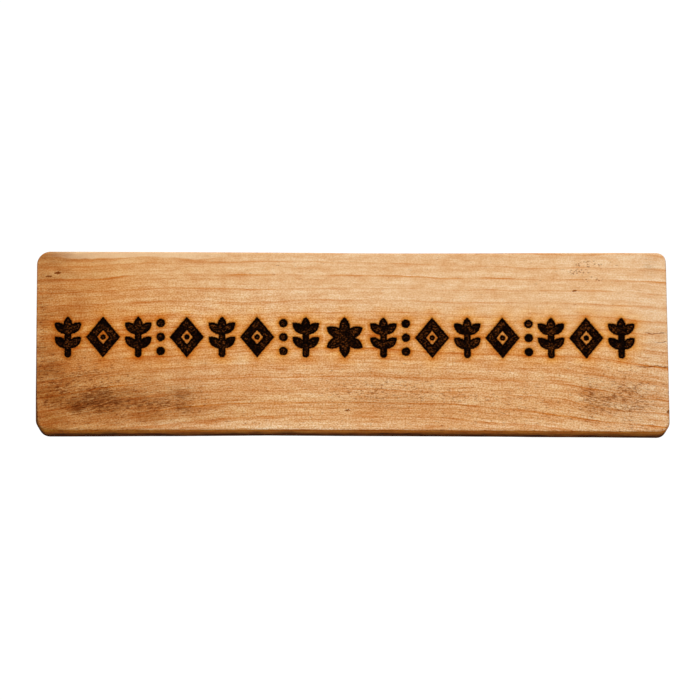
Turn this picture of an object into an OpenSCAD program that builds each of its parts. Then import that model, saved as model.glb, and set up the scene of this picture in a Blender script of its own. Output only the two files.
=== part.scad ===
// Wall plaque: one solid board with eased edges and a burnt-in ornament,
// a sawtooth hanger nailed to its back, and two felt pads that keep it off the wall.
// X runs along the board to the right, Y towards the wall, Z up. The wall is at y = 0.
// The origin is the hang point: the top of the hanger's middle notch, in the wall's plane.

/* [Board] */
// Length of the board, along X
board_w = 300; // [296:1:400]
// Height of the board, along Z
board_h = 86.5; // [80:0.5:120]
// Thickness of the board, along Y
board_t = 18; // [14:0.5:25]
// Radius of the eased edges round both faces
ease_r = 1; // [0.6:0.1:1.8]
// Radius of the bottom left corner, seen from the front
corner_bottom_left = 5.5; // [4:0.5:12]
// Radius of the bottom right corner
corner_bottom_right = 5; // [4:0.5:12]
// Radius of the top right corner
corner_top_right = 4.5; // [4:0.5:12]
// Radius of the top left corner
corner_top_left = 6.5; // [4:0.5:12]

/* [Burnt ornament] */
// Height of the ornament's middle line above the bottom edge
band_z = 45; // [35:0.5:50]
// Distance of the ornament's middle to the right of the board's middle
band_x = -3.5; // [-4:0.5:4]
// Height of the tallest marks
mark_h = 19.5; // [17:0.5:21]
// Width of a burnt stroke
stroke_w = 3.9; // [3:0.1:4.2]
// Gap between two neighbouring marks
mark_gap = 2.5; // [2:0.1:2.8]
// Depth of the burnt grooves
burn_depth = 0.8; // [0.4:0.1:1.5]

/* [Sawtooth hanger] */
// Length of the hanger strip
hanger_w = 46; // [44:1:60]
// Height of the hanger strip
hanger_h = 9; // [8:0.5:12]
// Thickness of the strip's sheet steel
sheet_t = 0.8; // [0.6:0.1:1]
// Gap behind the raised middle, for the head of the nail in the wall
hanger_gap = 1.9; // [1.4:0.1:2]
// Distance from the board's top edge down to the hanger's middle
hanger_drop = 16; // [10:1:24]
// Number of notches that the nail in the wall can sit in
notch_count = 7; // [3:2:7]

/* [Nails] */
// Diameter of a nail's shank
nail_d = 1.5; // [1.2:0.1:1.8]
// Length of the shank inside the board
nail_reach = 11; // [8:0.5:12]
// Diameter of a nail's head
nail_head_d = 3.8; // [3:0.1:4.5]

/* [Felt pads] */
// Diameter of a felt pad
pad_d = 12; // [8:0.5:14]
// Thickness of a felt pad
pad_t = 3; // [3:0.1:4]
// Distance from the board's end to a pad's centre
pad_inset_x = 17; // [14:1:30]
// Height of a pad's centre above the bottom edge
pad_z = 15; // [12:1:20]

/* [Hidden] */
$fn = 64;

wood = "peru";
zinc = "silver";
felt = "dimgray";

// How far a cutting shape runs past the face that it opens
overrun = 1;

// The ornament's row of marks, from left to right
ROW = [
  "sprig", "lozenge", "sprig", "dots",
  "lozenge", "sprig", "lozenge", "dots",
  "sprig", "rosette", "sprig", "dots",
  "lozenge", "sprig", "lozenge", "dots",
  "sprig", "lozenge", "sprig",
];
sprig_w = 12.4;
stem_w = 3;
leaf_w = 4.2;
leaf_tilt = 50;
leaf_pitch = 6.9;
lozenge_w = 16;
seed_d = 2.4;
rosette_w = mark_h;
petal_w = 5;
petal_count = 6;
dot_pitch = 6.8;

// The hanger's flat ends are each this long, and its nails are this far in from them
tab_w = 8;
nail_inset = 4;
nail_x = hanger_w / 2 - nail_inset;
hanger_corner_r = 1.5;
notch_pitch = 3.4;
notch_depth = 2;
// Width of the flat tip left between two notches
tooth_tip_w = 0.4;
nail_hole_clearance = 0.1;
nail_tip = 2;
nail_head_h = 0.9;

// Heights above the board's bottom edge
hanger_z = board_h - hanger_drop;
hang_point_z = hanger_z - hanger_h / 2 + notch_depth;

function mark_width(kind) =
  kind == "sprig" ? sprig_w
  : kind == "lozenge" ? lozenge_w
  : kind == "rosette" ? rosette_w
  : stroke_w;

// Left side of mark i, measured from the left end of the row
function mark_start(i) = i == 0 ? 0 : mark_start(i - 1) + mark_width(ROW[i - 1]) + mark_gap;

row_w = mark_start(len(ROW) - 1) + mark_width(ROW[len(ROW) - 1]);

// Places a piece that is drawn with z = 0 on the board's bottom edge and y = 0 on its back
module from_board() translate([0, -pad_t, -hang_point_z]) children();

// ---- The board ----

// Section of an eased rim, from x = 0 inside the board out to x = reach
module rim_section(reach) {
  translate([0, ease_r]) square([reach, board_t - 2 * ease_r]);
  square([reach - ease_r, board_t]);
  for (y = [ease_r, board_t - ease_r])
    translate([reach - ease_r, y]) intersection() {
      circle(ease_r);
      translate([0, -ease_r]) square([ease_r, 2 * ease_r]);
    }
}

// A corner of radius r about the origin, filling the quarter from 0 to 90 degrees
module board_corner(r) rotate_extrude(angle = 90) rim_section(r);

// A straight rim along +X, with its outside on y = 0 and facing -Y
module straight_rim(length)
  translate([0, 2 * ease_r, 0]) rotate([90, 0, 90]) linear_extrude(length)
    mirror([1, 0]) rim_section(2 * ease_r);

// The middle of the board: its outline less the four corners and the four straight rims
module board_core() {
  x = board_w / 2;
  e = 2 * ease_r;
  bl = corner_bottom_left;
  br = corner_bottom_right;
  tr = corner_top_right;
  tl = corner_top_left;
  linear_extrude(board_t) polygon([
    [bl - x, e], [bl - x, bl], [e - x, bl],
    [e - x, board_h - tl], [tl - x, board_h - tl], [tl - x, board_h - e],
    [x - tr, board_h - e], [x - tr, board_h - tr], [x - e, board_h - tr],
    [x - e, br], [x - br, br], [x - br, e],
  ]);
}

// The board before it is burnt or drilled, lying on its back with its front on top
module board_blank() {
  x = board_w / 2;
  bl = corner_bottom_left;
  br = corner_bottom_right;
  tr = corner_top_right;
  tl = corner_top_left;
  board_core();
  translate([bl - x, bl]) rotate(180) board_corner(bl);
  translate([x - br, br]) rotate(270) board_corner(br);
  translate([x - tr, board_h - tr]) board_corner(tr);
  translate([tl - x, board_h - tl]) rotate(90) board_corner(tl);
  translate([bl - x, 0]) straight_rim(board_w - bl - br);
  translate([x, br]) rotate(90) straight_rim(board_h - br - tr);
  translate([x - tr, board_h]) rotate(180) straight_rim(board_w - tr - tl);
  translate([-x, board_h - tl]) rotate(270) straight_rim(board_h - tl - bl);
}

// The space that a nail's shank takes, from the board's back into the wood
module nail_hole() {
  translate([0, 0, -overrun]) cylinder(h = overrun + nail_reach - nail_tip, d = nail_d);
  translate([0, 0, nail_reach - nail_tip]) cylinder(h = nail_tip, d1 = nail_d, d2 = 0);
}

module board() color(wood) from_board() difference() {
  rotate([90, 0, 0]) board_blank();
  translate([band_x, burn_depth - board_t, band_z]) rotate([90, 0, 0])
    linear_extrude(burn_depth + overrun) ornament();
  for (side = [-1, 1]) translate([side * nail_x, 0, hanger_z]) rotate([90, 0, 0]) nail_hole();
}

// ---- The burnt ornament, each mark drawn about its own middle ----

// One pointed leaf along +Y, where two circles overlap
module leaf(length, width) {
  r = (length * length + width * width) / (4 * width);
  translate([0, length / 2]) intersection() {
    translate([r - width / 2, 0]) circle(r);
    translate([width / 2 - r, 0]) circle(r);
  }
}

// A stem with two pairs of leaves and one more on top
module sprig() {
  foot = (stem_w - mark_h) / 2;
  stem_top = leaf_pitch / 4;
  side_leaf = sprig_w / 2 / sin(leaf_tilt);
  translate([0, foot]) circle(d = stem_w);
  translate([-stem_w / 2, foot]) square([stem_w, stem_top - foot]);
  translate([0, stem_top]) leaf(mark_h / 2 - stem_top, leaf_w);
  for (tilt = [-leaf_tilt, leaf_tilt], base = [foot + stem_w, foot + stem_w + leaf_pitch])
    translate([0, base]) rotate(tilt) leaf(side_leaf, leaf_w);
}

module diamond(half_w, half_h)
  polygon([[half_w, 0], [0, half_h], [-half_w, 0], [0, -half_h]]);

// A diamond outline of the stroke's width, with a seed in it
module lozenge() {
  half_w = lozenge_w / 2;
  half_h = mark_h / 2;
  side_distance = half_w * half_h / norm([half_w, half_h]);
  inner = 1 - stroke_w / side_distance;
  difference() {
    diamond(half_w, half_h);
    diamond(inner * half_w, inner * half_h);
  }
  circle(d = seed_d);
}

module rosette() {
  circle(d = seed_d);
  for (i = [0 : petal_count - 1]) rotate(i * 360 / petal_count) leaf(mark_h / 2, petal_w);
}

module dots() for (i = [-1 : 1]) translate([0, i * dot_pitch]) circle(d = stroke_w);

module mark(kind) {
  if (kind == "sprig") sprig();
  if (kind == "lozenge") lozenge();
  if (kind == "rosette") rosette();
  if (kind == "dots") dots();
}

module ornament()
  for (i = [0 : len(ROW) - 1])
    translate([mark_start(i) + mark_width(ROW[i]) / 2 - row_w / 2, 0]) mark(ROW[i]);

// ---- The hanger and its nails ----

// The bent strip seen from above: its flat ends on y = 0, its middle raised by the gap
module strip_section() {
  end_x = hanger_w / 2;
  tab_x = end_x - tab_w;
  raised_x = tab_x - hanger_gap;
  top_y = hanger_gap + sheet_t;
  // The bends are 45 degrees, and the outer corners are this much further out than the inner ones
  miter = sheet_t * tan(22.5);
  polygon([
    [-end_x, 0], [-tab_x, 0], [-raised_x, hanger_gap],
    [raised_x, hanger_gap], [tab_x, 0], [end_x, 0],
    [end_x, sheet_t], [tab_x + miter, sheet_t], [raised_x + miter, top_y],
    [-raised_x - miter, top_y], [-tab_x - miter, sheet_t], [-end_x, sheet_t],
  ]);
}

// One V-shaped notch with its top at the notch's full depth, open below y = 0
module notch() {
  half_w = (notch_pitch - tooth_tip_w) / 2;
  polygon([[-half_w, -overrun], [half_w, -overrun], [half_w, 0], [0, notch_depth], [-half_w, 0]]);
}

// The strip's outline seen from the wall, with its row of notches along the lower edge
module strip_outline() {
  half_w = hanger_w / 2;
  half_h = hanger_h / 2;
  r = hanger_corner_r;
  difference() {
    union() {
      square([hanger_w - 2 * r, hanger_h], center = true);
      square([hanger_w, hanger_h - 2 * r], center = true);
      for (sx = [-1, 1], sy = [-1, 1]) translate([sx * (half_w - r), sy * (half_h - r)]) circle(r);
    }
    for (i = [0 : notch_count - 1])
      translate([(i - (notch_count - 1) / 2) * notch_pitch, -half_h]) notch();
    for (side = [-1, 1]) translate([side * nail_x, 0]) circle(d = nail_d + nail_hole_clearance);
  }
}

module sawtooth_hanger() color(zinc) from_board() translate([0, 0, hanger_z]) intersection() {
  translate([0, 0, -hanger_h / 2]) linear_extrude(hanger_h) strip_section();
  rotate([90, 0, 180]) linear_extrude(hanger_gap + sheet_t) strip_outline();
}

// A low domed head, flat on z = 0 and round towards -Z
module nail_head() {
  dome_r = (pow(nail_head_d / 2, 2) + pow(nail_head_h, 2)) / (2 * nail_head_h);
  intersection() {
    translate([0, 0, dome_r - nail_head_h]) sphere(dome_r);
    translate([0, 0, -nail_head_h]) cylinder(h = nail_head_h, d = nail_head_d);
  }
}

// A nail driven in from the wall's side: its head on the strip, its shank in the strip and the board
module hanger_nail(side)
  color(zinc) from_board() translate([side * nail_x, 0, hanger_z]) rotate([90, 0, 0]) {
    translate([0, 0, -sheet_t]) nail_head();
    translate([0, 0, -sheet_t]) cylinder(h = sheet_t + nail_reach - nail_tip, d = nail_d);
    translate([0, 0, nail_reach - nail_tip]) cylinder(h = nail_tip, d1 = nail_d, d2 = 0);
  }

// ---- The felt pads ----

module felt_pad(side)
  color(felt) from_board() translate([side * (board_w / 2 - pad_inset_x), 0, pad_z])
    rotate([-90, 0, 0]) cylinder(h = pad_t, d = pad_d);

board();
sawtooth_hanger();
hanger_nail(-1);  // hanger_nail_left
hanger_nail(1);  // hanger_nail_right
felt_pad(-1);  // felt_pad_left
felt_pad(1);  // felt_pad_right
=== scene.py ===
"""The looks of the wooden wall plaque: a plank with a burnt ornament, its hanger, nails and felt pads."""

import math
from typing import NamedTuple

import bmesh
import bpy
import numpy as np
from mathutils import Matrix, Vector, noise
from mathutils.bvhtree import BVHTree


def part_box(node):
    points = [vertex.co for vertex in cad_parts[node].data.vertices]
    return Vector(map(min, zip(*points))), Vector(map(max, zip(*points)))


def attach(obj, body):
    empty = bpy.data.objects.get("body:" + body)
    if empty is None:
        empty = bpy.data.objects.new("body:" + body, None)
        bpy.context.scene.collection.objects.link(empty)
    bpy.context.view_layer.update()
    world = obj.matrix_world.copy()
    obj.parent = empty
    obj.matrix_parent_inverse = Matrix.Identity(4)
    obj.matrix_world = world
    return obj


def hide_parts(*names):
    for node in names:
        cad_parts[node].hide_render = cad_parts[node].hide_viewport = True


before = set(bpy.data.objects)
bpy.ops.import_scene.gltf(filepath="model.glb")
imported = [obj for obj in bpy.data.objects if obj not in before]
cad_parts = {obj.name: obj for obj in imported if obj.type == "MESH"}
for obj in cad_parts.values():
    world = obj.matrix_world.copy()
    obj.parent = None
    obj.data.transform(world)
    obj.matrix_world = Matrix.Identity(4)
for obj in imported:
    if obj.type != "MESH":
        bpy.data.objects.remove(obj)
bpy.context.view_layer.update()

MM = 0.001
BODY = "root"
BOARD_LOW, BOARD_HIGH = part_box("board")
BOARD_MID = (BOARD_LOW + BOARD_HIGH) / 2
FRONT_Y = BOARD_LOW.y
BOARD_H = BOARD_HIGH.z - BOARD_LOW.z
# The wood's pattern is measured from here: front face, bottom edge, half way along
PATTERN_ORIGIN = Vector((BOARD_MID.x, FRONT_Y, BOARD_LOW.z))

# ---- Camera, light and stage ----

CAMERA_ELEVATION = math.radians(-10.7)
CAMERA_DISTANCE = 1.5
CAMERA_LENS = 163.2
CAMERA_CLIP = (0.05, 50)
# The right end hangs a little lower
CAMERA_ROLL = math.radians(0.13)
# The board sits a little above and to the right of the middle of the picture
AIM_OFFSET = Vector((-0.95, 0, -4.2)) * MM
FLOOR_DROP = 1.6
FLOOR_RADIUS = 7
FLOOR_SIDES = 96
FLOOR_PAINT = (0.8, 0.8, 0.8, 1)
FLOOR_ROUGHNESS = 0.9
# Over these distances the floor turns white to the camera, by glowing this much
FLOOR_FADE = (2.0, 6.0)
FLOOR_GLOW = (0.42, 0.85)
WHITE = (1, 1, 1, 1)
# How bright the studio is to the camera, and as a light from above and from below
BACKDROP = 1.05
SKY = 0.50
GROUND = 0.02
# The light changes from ground to sky between these heights of its direction
HORIZON = (-0.2, 0.6)
# Name, place and size in metres, and power in watts
SOFTBOXES = (
    ("key", (-0.5, -1.6, 1.7), 1.2, 38),
    ("fill", (1.0, -2.0, 0.5), 1.2, 14),
    ("rear", (0.4, 1.8, 1.2), 1.4, 25),
)


def add_object(name, data):
    made = bpy.data.objects.new(name, data)
    bpy.context.scene.collection.objects.link(made)
    return made


def make_camera():
    aim = Vector((BOARD_MID.x, FRONT_Y, BOARD_MID.z)) + AIM_OFFSET
    back = Vector((0, -math.cos(CAMERA_ELEVATION), math.sin(CAMERA_ELEVATION)))
    data = bpy.data.cameras.new("camera")
    data.lens = CAMERA_LENS
    data.clip_start, data.clip_end = CAMERA_CLIP
    camera = add_object("camera", data)
    camera.location = aim + back * CAMERA_DISTANCE
    camera.rotation_euler = (-back).to_track_quat("-Z", "Y").to_euler()
    camera.rotation_euler.rotate_axis("Z", CAMERA_ROLL)
    bpy.context.scene.camera = camera


def make_softbox(name, place, size, power):
    """A square soft light that faces the board."""
    data = bpy.data.lights.new(name, "AREA")
    data.shape, data.size, data.energy = "SQUARE", size, power
    light = add_object(name, data)
    light.location = place
    light.rotation_euler = (BOARD_MID - light.location).to_track_quat("-Z", "Y").to_euler()


def make_world():
    """White where the camera looks past the object. As a light it is grey above and dark below."""
    world = bpy.data.worlds.new("studio")
    world.use_nodes = True
    studio = Graph(world.node_tree)
    direction = studio.add("TexCoord").outputs["Generated"]
    _, _, up = studio.parts(direction)
    light = studio.ease(up, *HORIZON, GROUND, SKY)
    seen = studio.add("LightPath").outputs["Is Camera Ray"]
    strength = studio.plus(light, studio.times(seen, studio.minus(BACKDROP, light)))
    studio.feed(studio.tree.nodes["Background"].inputs["Color"], WHITE)
    studio.feed(studio.tree.nodes["Background"].inputs["Strength"], strength)
    bpy.context.scene.world = world


def make_floor():
    """A pale disc far below the board."""
    mesh = bpy.data.meshes.new("floor")
    disc = bmesh.new()
    bmesh.ops.create_circle(disc, cap_ends=True, segments=FLOOR_SIDES, radius=FLOOR_RADIUS)
    disc.to_mesh(mesh)
    disc.free()
    floor = add_object("floor", mesh)
    floor.location = (0, 0, BOARD_LOW.z - FLOOR_DROP)
    paint = Material("floor_paint", FLOOR_PAINT)
    paint.set("Base Color", paint.colour)
    paint.set("Roughness", FLOOR_ROUGHNESS)
    x, y, _ = paint.parts(paint.add("TexCoord").outputs["Object"])
    glow = paint.ease(paint.hypot(x, y), *FLOOR_FADE, *FLOOR_GLOW)
    seen = paint.add("LightPath").outputs["Is Camera Ray"]
    paint.set("Emission Color", WHITE)
    paint.set("Emission Strength", paint.times(seen, glow))
    mesh.materials.append(paint.material)


# ---- Material helpers ----


class Layer(NamedTuple):
    """Goes from start to end as a noise goes from low to high. The size of its grains is in mm."""

    size: tuple
    detail: float
    roughness: float
    seed: float
    low: float
    high: float
    start: float = 0
    end: float = 1


class Graph:
    """Short calls that add nodes to a tree. Each returns the socket that holds its result."""

    def __init__(self, tree):
        self.tree = tree

    def add(self, kind, values=(), **settings):
        made = self.tree.nodes.new("ShaderNode" + kind)
        for name, value in settings.items():
            setattr(made, name, value)
        for name, value in dict(values).items():
            self.feed(made.inputs[name], value)
        return made

    def feed(self, socket, value):
        if isinstance(value, bpy.types.NodeSocket):
            self.tree.links.new(value, socket)
        else:
            socket.default_value = value

    def math(self, operation, a, b=0.0, clamp=False):
        return self.add("Math", {0: a, 1: b}, operation=operation, use_clamp=clamp).outputs[0]

    def plus(self, a, b):
        return self.math("ADD", a, b)

    def minus(self, a, b):
        return self.math("SUBTRACT", a, b)

    def times(self, first, *others):
        product = first
        for other in others:
            product = self.math("MULTIPLY", product, other)
        return product

    def hypot(self, a, b):
        return self.math("SQRT", self.plus(self.times(a, a), self.times(b, b)))

    def ease(self, value, low, high, start=0.0, end=1.0):
        """A smooth step from start to end as value goes from low to high."""
        made = self.add(
            "MapRange",
            {"Value": value, "From Min": low, "From Max": high, "To Min": start, "To Max": end},
            interpolation_type="SMOOTHSTEP",
        )
        return made.outputs["Result"]

    def parts(self, vector):
        return self.add("SeparateXYZ", {0: vector}).outputs[:]

    def place(self, origin):
        """The point of the object that is shaded, from the origin, in millimetres."""
        point = self.add("TexCoord").outputs["Object"]
        moved = self.add("VectorMath", {0: point, 1: origin}, operation="SUBTRACT")
        values = {0: moved.outputs[0], "Scale": 1 / MM}
        return self.add("VectorMath", values, operation="SCALE").outputs[0]

    def stretch(self, point, size, seed):
        """The point in grains of the given size along X, Y and Z, moved by the seed."""
        scale = tuple(1 / s for s in size)
        values = {0: point, 1: scale, 2: (seed, seed, seed)}
        return self.add("VectorMath", values, operation="MULTIPLY_ADD").outputs[0]

    def noise(self, point, size, detail=2.0, roughness=0.5, seed=0.0):
        """Noise from 0 to 1 with grains of the given size along X, Y and Z."""
        values = {"Scale": 1.0, "Detail": detail, "Roughness": roughness}
        values["Vector"] = self.stretch(point, size, seed)
        return self.add("TexNoise", values).outputs[0]

    def wave(self, point, amount, *settings):
        """The same noise, times the amount, about 0."""
        return self.times(self.minus(self.noise(point, *settings), 0.5), amount)

    def layer(self, point, layer):
        made = self.noise(point, layer.size, layer.detail, layer.roughness, layer.seed)
        return self.ease(made, layer.low, layer.high, layer.start, layer.end)

    def spots(self, point, size, seed=0.0):
        """Distance to the nearest of many scattered points, in grains of the given size."""
        values = {"Vector": self.stretch(point, size, seed), "Scale": 1.0}
        return self.add("TexVoronoi", values).outputs[0]

    def mix(self, blend_type, share, a, b):
        values = {"Factor": share, 6: a, 7: b}
        return self.add("Mix", values, data_type="RGBA", blend_type=blend_type).outputs[2]


class Material(Graph):
    """A material whose colour and bump are built up in layers over its first colour."""

    def __init__(self, name, colour):
        self.material = bpy.data.materials.new(name)
        self.material.use_nodes = True
        super().__init__(self.material.node_tree)
        self.shader = self.tree.nodes["Principled BSDF"]
        self.colour = colour
        self.height = None

    def set(self, name, value):
        self.feed(self.shader.inputs[name], value)

    def cover(self, colour, *shares):
        """Lays a colour over what is there, which hides it where the shares' product is 1."""
        self.colour = self.mix("MIX", self.times(*shares), self.colour, colour)

    def tint(self, colour, *shares):
        """Multiplies what is there by a colour where the shares' product is 1."""
        self.colour = self.mix("MULTIPLY", self.times(*shares), self.colour, colour)

    def rise(self, share, amount):
        """Raises the bump by an amount where share is 1, or lowers it."""
        change = self.times(share, amount)
        self.height = change if self.height is None else self.plus(self.height, change)

    def finish(self, roughness, depth):
        """Joins the layers to the shader. A height of 1 stands the depth proud, in metres."""
        self.set("Base Color", self.colour)
        self.set("Roughness", roughness)
        bump = self.add("Bump", {"Height": self.height, "Distance": depth, "Strength": 1.0})
        self.set("Normal", bump.outputs[0])


# ---- The wood ----

PALE = (0.88, 0.65, 0.405, 1)
BLEACHED = (0.93, 0.80, 0.62, 1)
HONEY = (0.765, 0.465, 0.196, 1)
BROWN = (0.445, 0.160, 0.017, 1)
UMBER = (0.40, 0.160, 0.034, 1)
# Painted shade: the dark brown of the underside
UNDERSIDE_SHADE_BROWN = (0.60, 0.230, 0.021, 1)
CHAR = (0.0020, 0.0008, 0.0005, 1)
EMBER = (0.17, 0.045, 0.007, 1)
SCORCHED = (0.22, 0.052, 0.003, 1)
# Colours that the wood is multiplied by
RING_LINE = (0.81, 0.48, 0.16, 1)
STREAK = (0.82, 0.57, 0.33, 1)
BRIGHT = (1.11, 1.26, 1.53, 1)
PORE = (0.36, 0.18, 0.065, 1)
STAIN = (0.36, 0.235, 0.13, 1)
# Painted shade, under the board towards the back and on the lower part of the left end
PAINTED_SHADE = (0.09, 0.065, 0.05, 1)
TOASTED = (1, 0.78, 0.40, 1)
SINGED = (0.85, 0.62, 0.26, 1)

# In this section every length is in mm, X is from the board's middle, and Z from its bottom edge.
# Two numbers say where a change begins and is complete, and two more its values there.

# ---- Growth rings ----

# The rings are arches about a pith below the board and behind it
RING_PITCH = 5.6
RING_SHIFT = 0.5
PITH_BELOW = 60
PITH_BEHIND = 45
ARCH_LOW = 5.2e-4
ARCH_HIGH = 0.8e-4
# A wave is an amount, a size, a detail, a roughness and a seed
SWAY = (7, (75, 60, 30), 2, 0.45, 0)
RIPPLE = (1.3, (13, 12, 5), 2, 0.55, 7)
# Shares of a ring's width: where its dark line and its soft shade come up, and where both end
LINE_RISE = (0.80, 0.94)
SHADE_RISE = (0.30, 0.93)
RING_END = (1, 0.95)
LINE_SHARE = 0.75
WEAKEST_RING = 0.55
RING_PATCHES = Layer((35, 30, 9), 3, 0.6, 3, 0.32, 0.62, 0.25, 1)


def along_grain(wood, point):
    """The point, with its height changed so that it stays level along a growth ring."""
    x, y, z = wood.parts(point)
    arch = wood.ease(z, 0, BOARD_H / MM, ARCH_LOW, ARCH_HIGH)
    level = wood.plus(z, wood.times(arch, wood.times(x, x)))
    level = wood.plus(level, wood.wave(point, *SWAY))
    level = wood.plus(level, wood.wave(point, *RIPPLE))
    return wood.add("CombineXYZ", {0: x, 1: y, 2: level}).outputs[0]


def ring_lines(wood, grain):
    """1 on the dark line that ends each growth ring. The rings are of uneven strength."""
    _, y, level = wood.parts(grain)
    up = wood.plus(level, PITH_BELOW)
    out = wood.minus(PITH_BEHIND, y)
    phase = wood.plus(wood.math("DIVIDE", wood.hypot(up, out), RING_PITCH), RING_SHIFT)
    place = wood.math("FRACT", phase)
    ring = wood.math("FLOOR", phase)
    strength = wood.add("TexWhiteNoise", {"W": ring}, noise_dimensions="1D").outputs[0]
    ending = wood.ease(place, *RING_END)
    line = wood.times(wood.ease(place, *LINE_RISE), ending)
    shade = wood.times(wood.ease(place, *SHADE_RISE), ending)
    both = wood.plus(wood.times(line, LINE_SHARE), wood.times(shade, 1 - LINE_SHARE))
    patchy = wood.times(both, wood.layer(grain, RING_PATCHES))
    return wood.times(patchy, wood.ease(strength, 0, 1, WEAKEST_RING, 1))


# ---- Tone ----

# A slow drift moves the tone's changes: how far it does, and where each begins and is complete
DRIFT = (1, (50, 40, 18), 3, 0.6, 1)
PALE_ALONG, PALE_UP, PALE_LOW = (110, -150, 0), (36, 20, 72), 0.45
BROWN_ALONG, BROWN_DOWN = (60, -25, -130), (-40, 52, 6)
BLEACHED_ALONG, BLEACHED_SHARE = (30, 112, 148), 0.24
# An oval is a middle along X, a height, a half length and a half height. These are paler by a share.
PALE_PATCHES = ((-35, 27, 48, 7, 0.36), (66, 27, 26, 7, 0.16))
BROWN_CLOUDS = Layer((17, 14, 6), 3, 0.6, 79, 0.36, 0.64, 0.30, 0.83)
UMBER_ALONG, UMBER_SHARE = (-106, -147), 0.8
# A painted highlight: a pale line just above the lower edge, less so at the left end
LOW_HIGHLIGHT_FROM, LOW_HIGHLIGHT_TO = (0.3, 1.4), (6.5, 2.5)
LOW_HIGHLIGHT_ALONG = (-120, -50, 0.05, 1)
LOW_HIGHLIGHT_PATCHES = Layer((22, 9, 9), 2, 0.5, 83, 0.35, 0.6, 0.2, 0.8)
# The four sides are darker than the faces. Painted shade makes the underside dark brown, darkest towards
# the back, and darkens the lower part of the left end, which also has dark end grain
SIDE_FACING, DOWN_FACING, LEFT_FACING = (0.86, 0.45), (0, -0.75), (-0.15, -0.7)
SIDE_SHARE, UNDER_SHADE_SHARE = 0.4, 0.94
UNDER_SHADE_BACK = (1, 15)
UNDER_SHADE_LEFT = (-70, -125, 0, 0.12)
UNDER_SHADE_PATCHES = Layer((12, 4, 4), 3, 0.65, 113, 0.42, 0.66, 0, 0.28)
UNDER_SHADE_FIBRES = Layer((10, 1.6, 1.2), 3, 0.65, 107, 0.38, 0.62, 0.72, 1.25)
LEFT_END_SHADE_DOWN = (62, 14, 0.12, 0.70)


def oval(wood, x, z, middle, height, half_length, half_height, strength=1):
    """The strength in the middle of an oval on the face, falling off like a bell."""
    across = wood.math("DIVIDE", wood.minus(x, middle), half_length)
    up = wood.math("DIVIDE", wood.minus(z, height), half_height)
    distance = wood.plus(wood.times(across, across), wood.times(up, up))
    return wood.times(wood.math("EXPONENT", wood.times(distance, -1)), strength)


def drifting(wood, value, drift, amount, low, high):
    """A smooth step whose place moves with the drift."""
    return wood.ease(wood.plus(value, wood.times(drift, amount)), low, high)


def pale_share(wood, x, z, drift):
    along = drifting(wood, x, drift, *PALE_ALONG)
    up = drifting(wood, z, drift, *PALE_UP)
    pale = wood.times(along, wood.ease(up, 0, 1, PALE_LOW, 1))
    for patch in PALE_PATCHES:
        pale = wood.plus(pale, oval(wood, x, z, *patch))
    return pale


def darkened_left(wood, point, x, z, drift):
    """Brown towards the lower left, and umber at the left end."""
    along = drifting(wood, x, drift, *BROWN_ALONG)
    down = drifting(wood, z, drift, *BROWN_DOWN)
    cloud = wood.layer(point, BROWN_CLOUDS)
    wood.cover(BROWN, along, down, cloud)
    wood.cover(UMBER, wood.ease(x, *UMBER_ALONG), wood.times(cloud, UMBER_SHARE))


def bleached_end_and_highlight(wood, point, x, z, drift):
    """Bleached at the right end, with a painted highlight along the lower edge."""
    wood.cover(BLEACHED, drifting(wood, x, drift, *BLEACHED_ALONG), BLEACHED_SHARE)
    # Painted highlight along the lower edge, in patches
    low_highlight = wood.times(wood.ease(z, *LOW_HIGHLIGHT_FROM), wood.ease(z, *LOW_HIGHLIGHT_TO))
    wood.cover(PALE, low_highlight, wood.layer(point, LOW_HIGHLIGHT_PATCHES), wood.ease(x, *LOW_HIGHLIGHT_ALONG))


# The sides are darker than the faces, and painted shade darkens the underside and the left end
def sides_and_painted_shade(wood, point):
    x, y, z = wood.parts(point)
    normal = wood.add("TexCoord").outputs["Normal"]
    along, out, up = wood.parts(normal)
    side = wood.ease(wood.math("ABSOLUTE", out), *SIDE_FACING)
    under = wood.times(side, wood.ease(up, *DOWN_FACING))
    wood.cover(UMBER, side, SIDE_SHARE)
    # Painted shade: the down-facing underside turns dark brown, darker still towards the back and at the
    # left end
    wood.cover(UNDERSIDE_SHADE_BROWN, under, UNDER_SHADE_SHARE)
    patchy = wood.plus(wood.layer(point, UNDER_SHADE_PATCHES), wood.ease(x, *UNDER_SHADE_LEFT))
    dark = wood.times(wood.plus(wood.ease(y, *UNDER_SHADE_BACK), patchy), wood.layer(point, UNDER_SHADE_FIBRES))
    wood.tint(PAINTED_SHADE, wood.math("MULTIPLY", under, dark, clamp=True))
    # Painted shade, with dark end grain, on the lower part of the left end
    wood.tint(PAINTED_SHADE, wood.ease(along, *LEFT_FACING), wood.ease(z, *LEFT_END_SHADE_DOWN))


def wood_tone(wood, point):
    """Slow colour changes: pale towards the top right, brown at the lower left, with a painted highlight
    along the lower edge and painted shade under the board and at the left end.
    """
    x, _, z = wood.parts(point)
    drift = wood.wave(point, *DRIFT)
    wood.cover(PALE, pale_share(wood, x, z, drift))
    darkened_left(wood, point, x, z, drift)
    bleached_end_and_highlight(wood, point, x, z, drift)
    sides_and_painted_shade(wood, point)


# ---- Grain ----

BROAD_STREAKS, BROAD_SHARE = Layer((80, 5, 2.4), 3, 0.62, 11, 0.36, 0.66), 0.66
MOTTLE = Layer((7, 6, 3.2), 3, 0.62, 13, 0.36, 0.68, 0, 0.46)
FIBRES, FIBRE_SHARE = Layer((15, 0.9, 0.55), 3, 0.65, 17, 0.40, 0.66), 0.84
GLEAM = Layer((45, 1.6, 0.75), 2, 0.6, 19, 0.60, 0.70, 0, 0.64)
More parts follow.
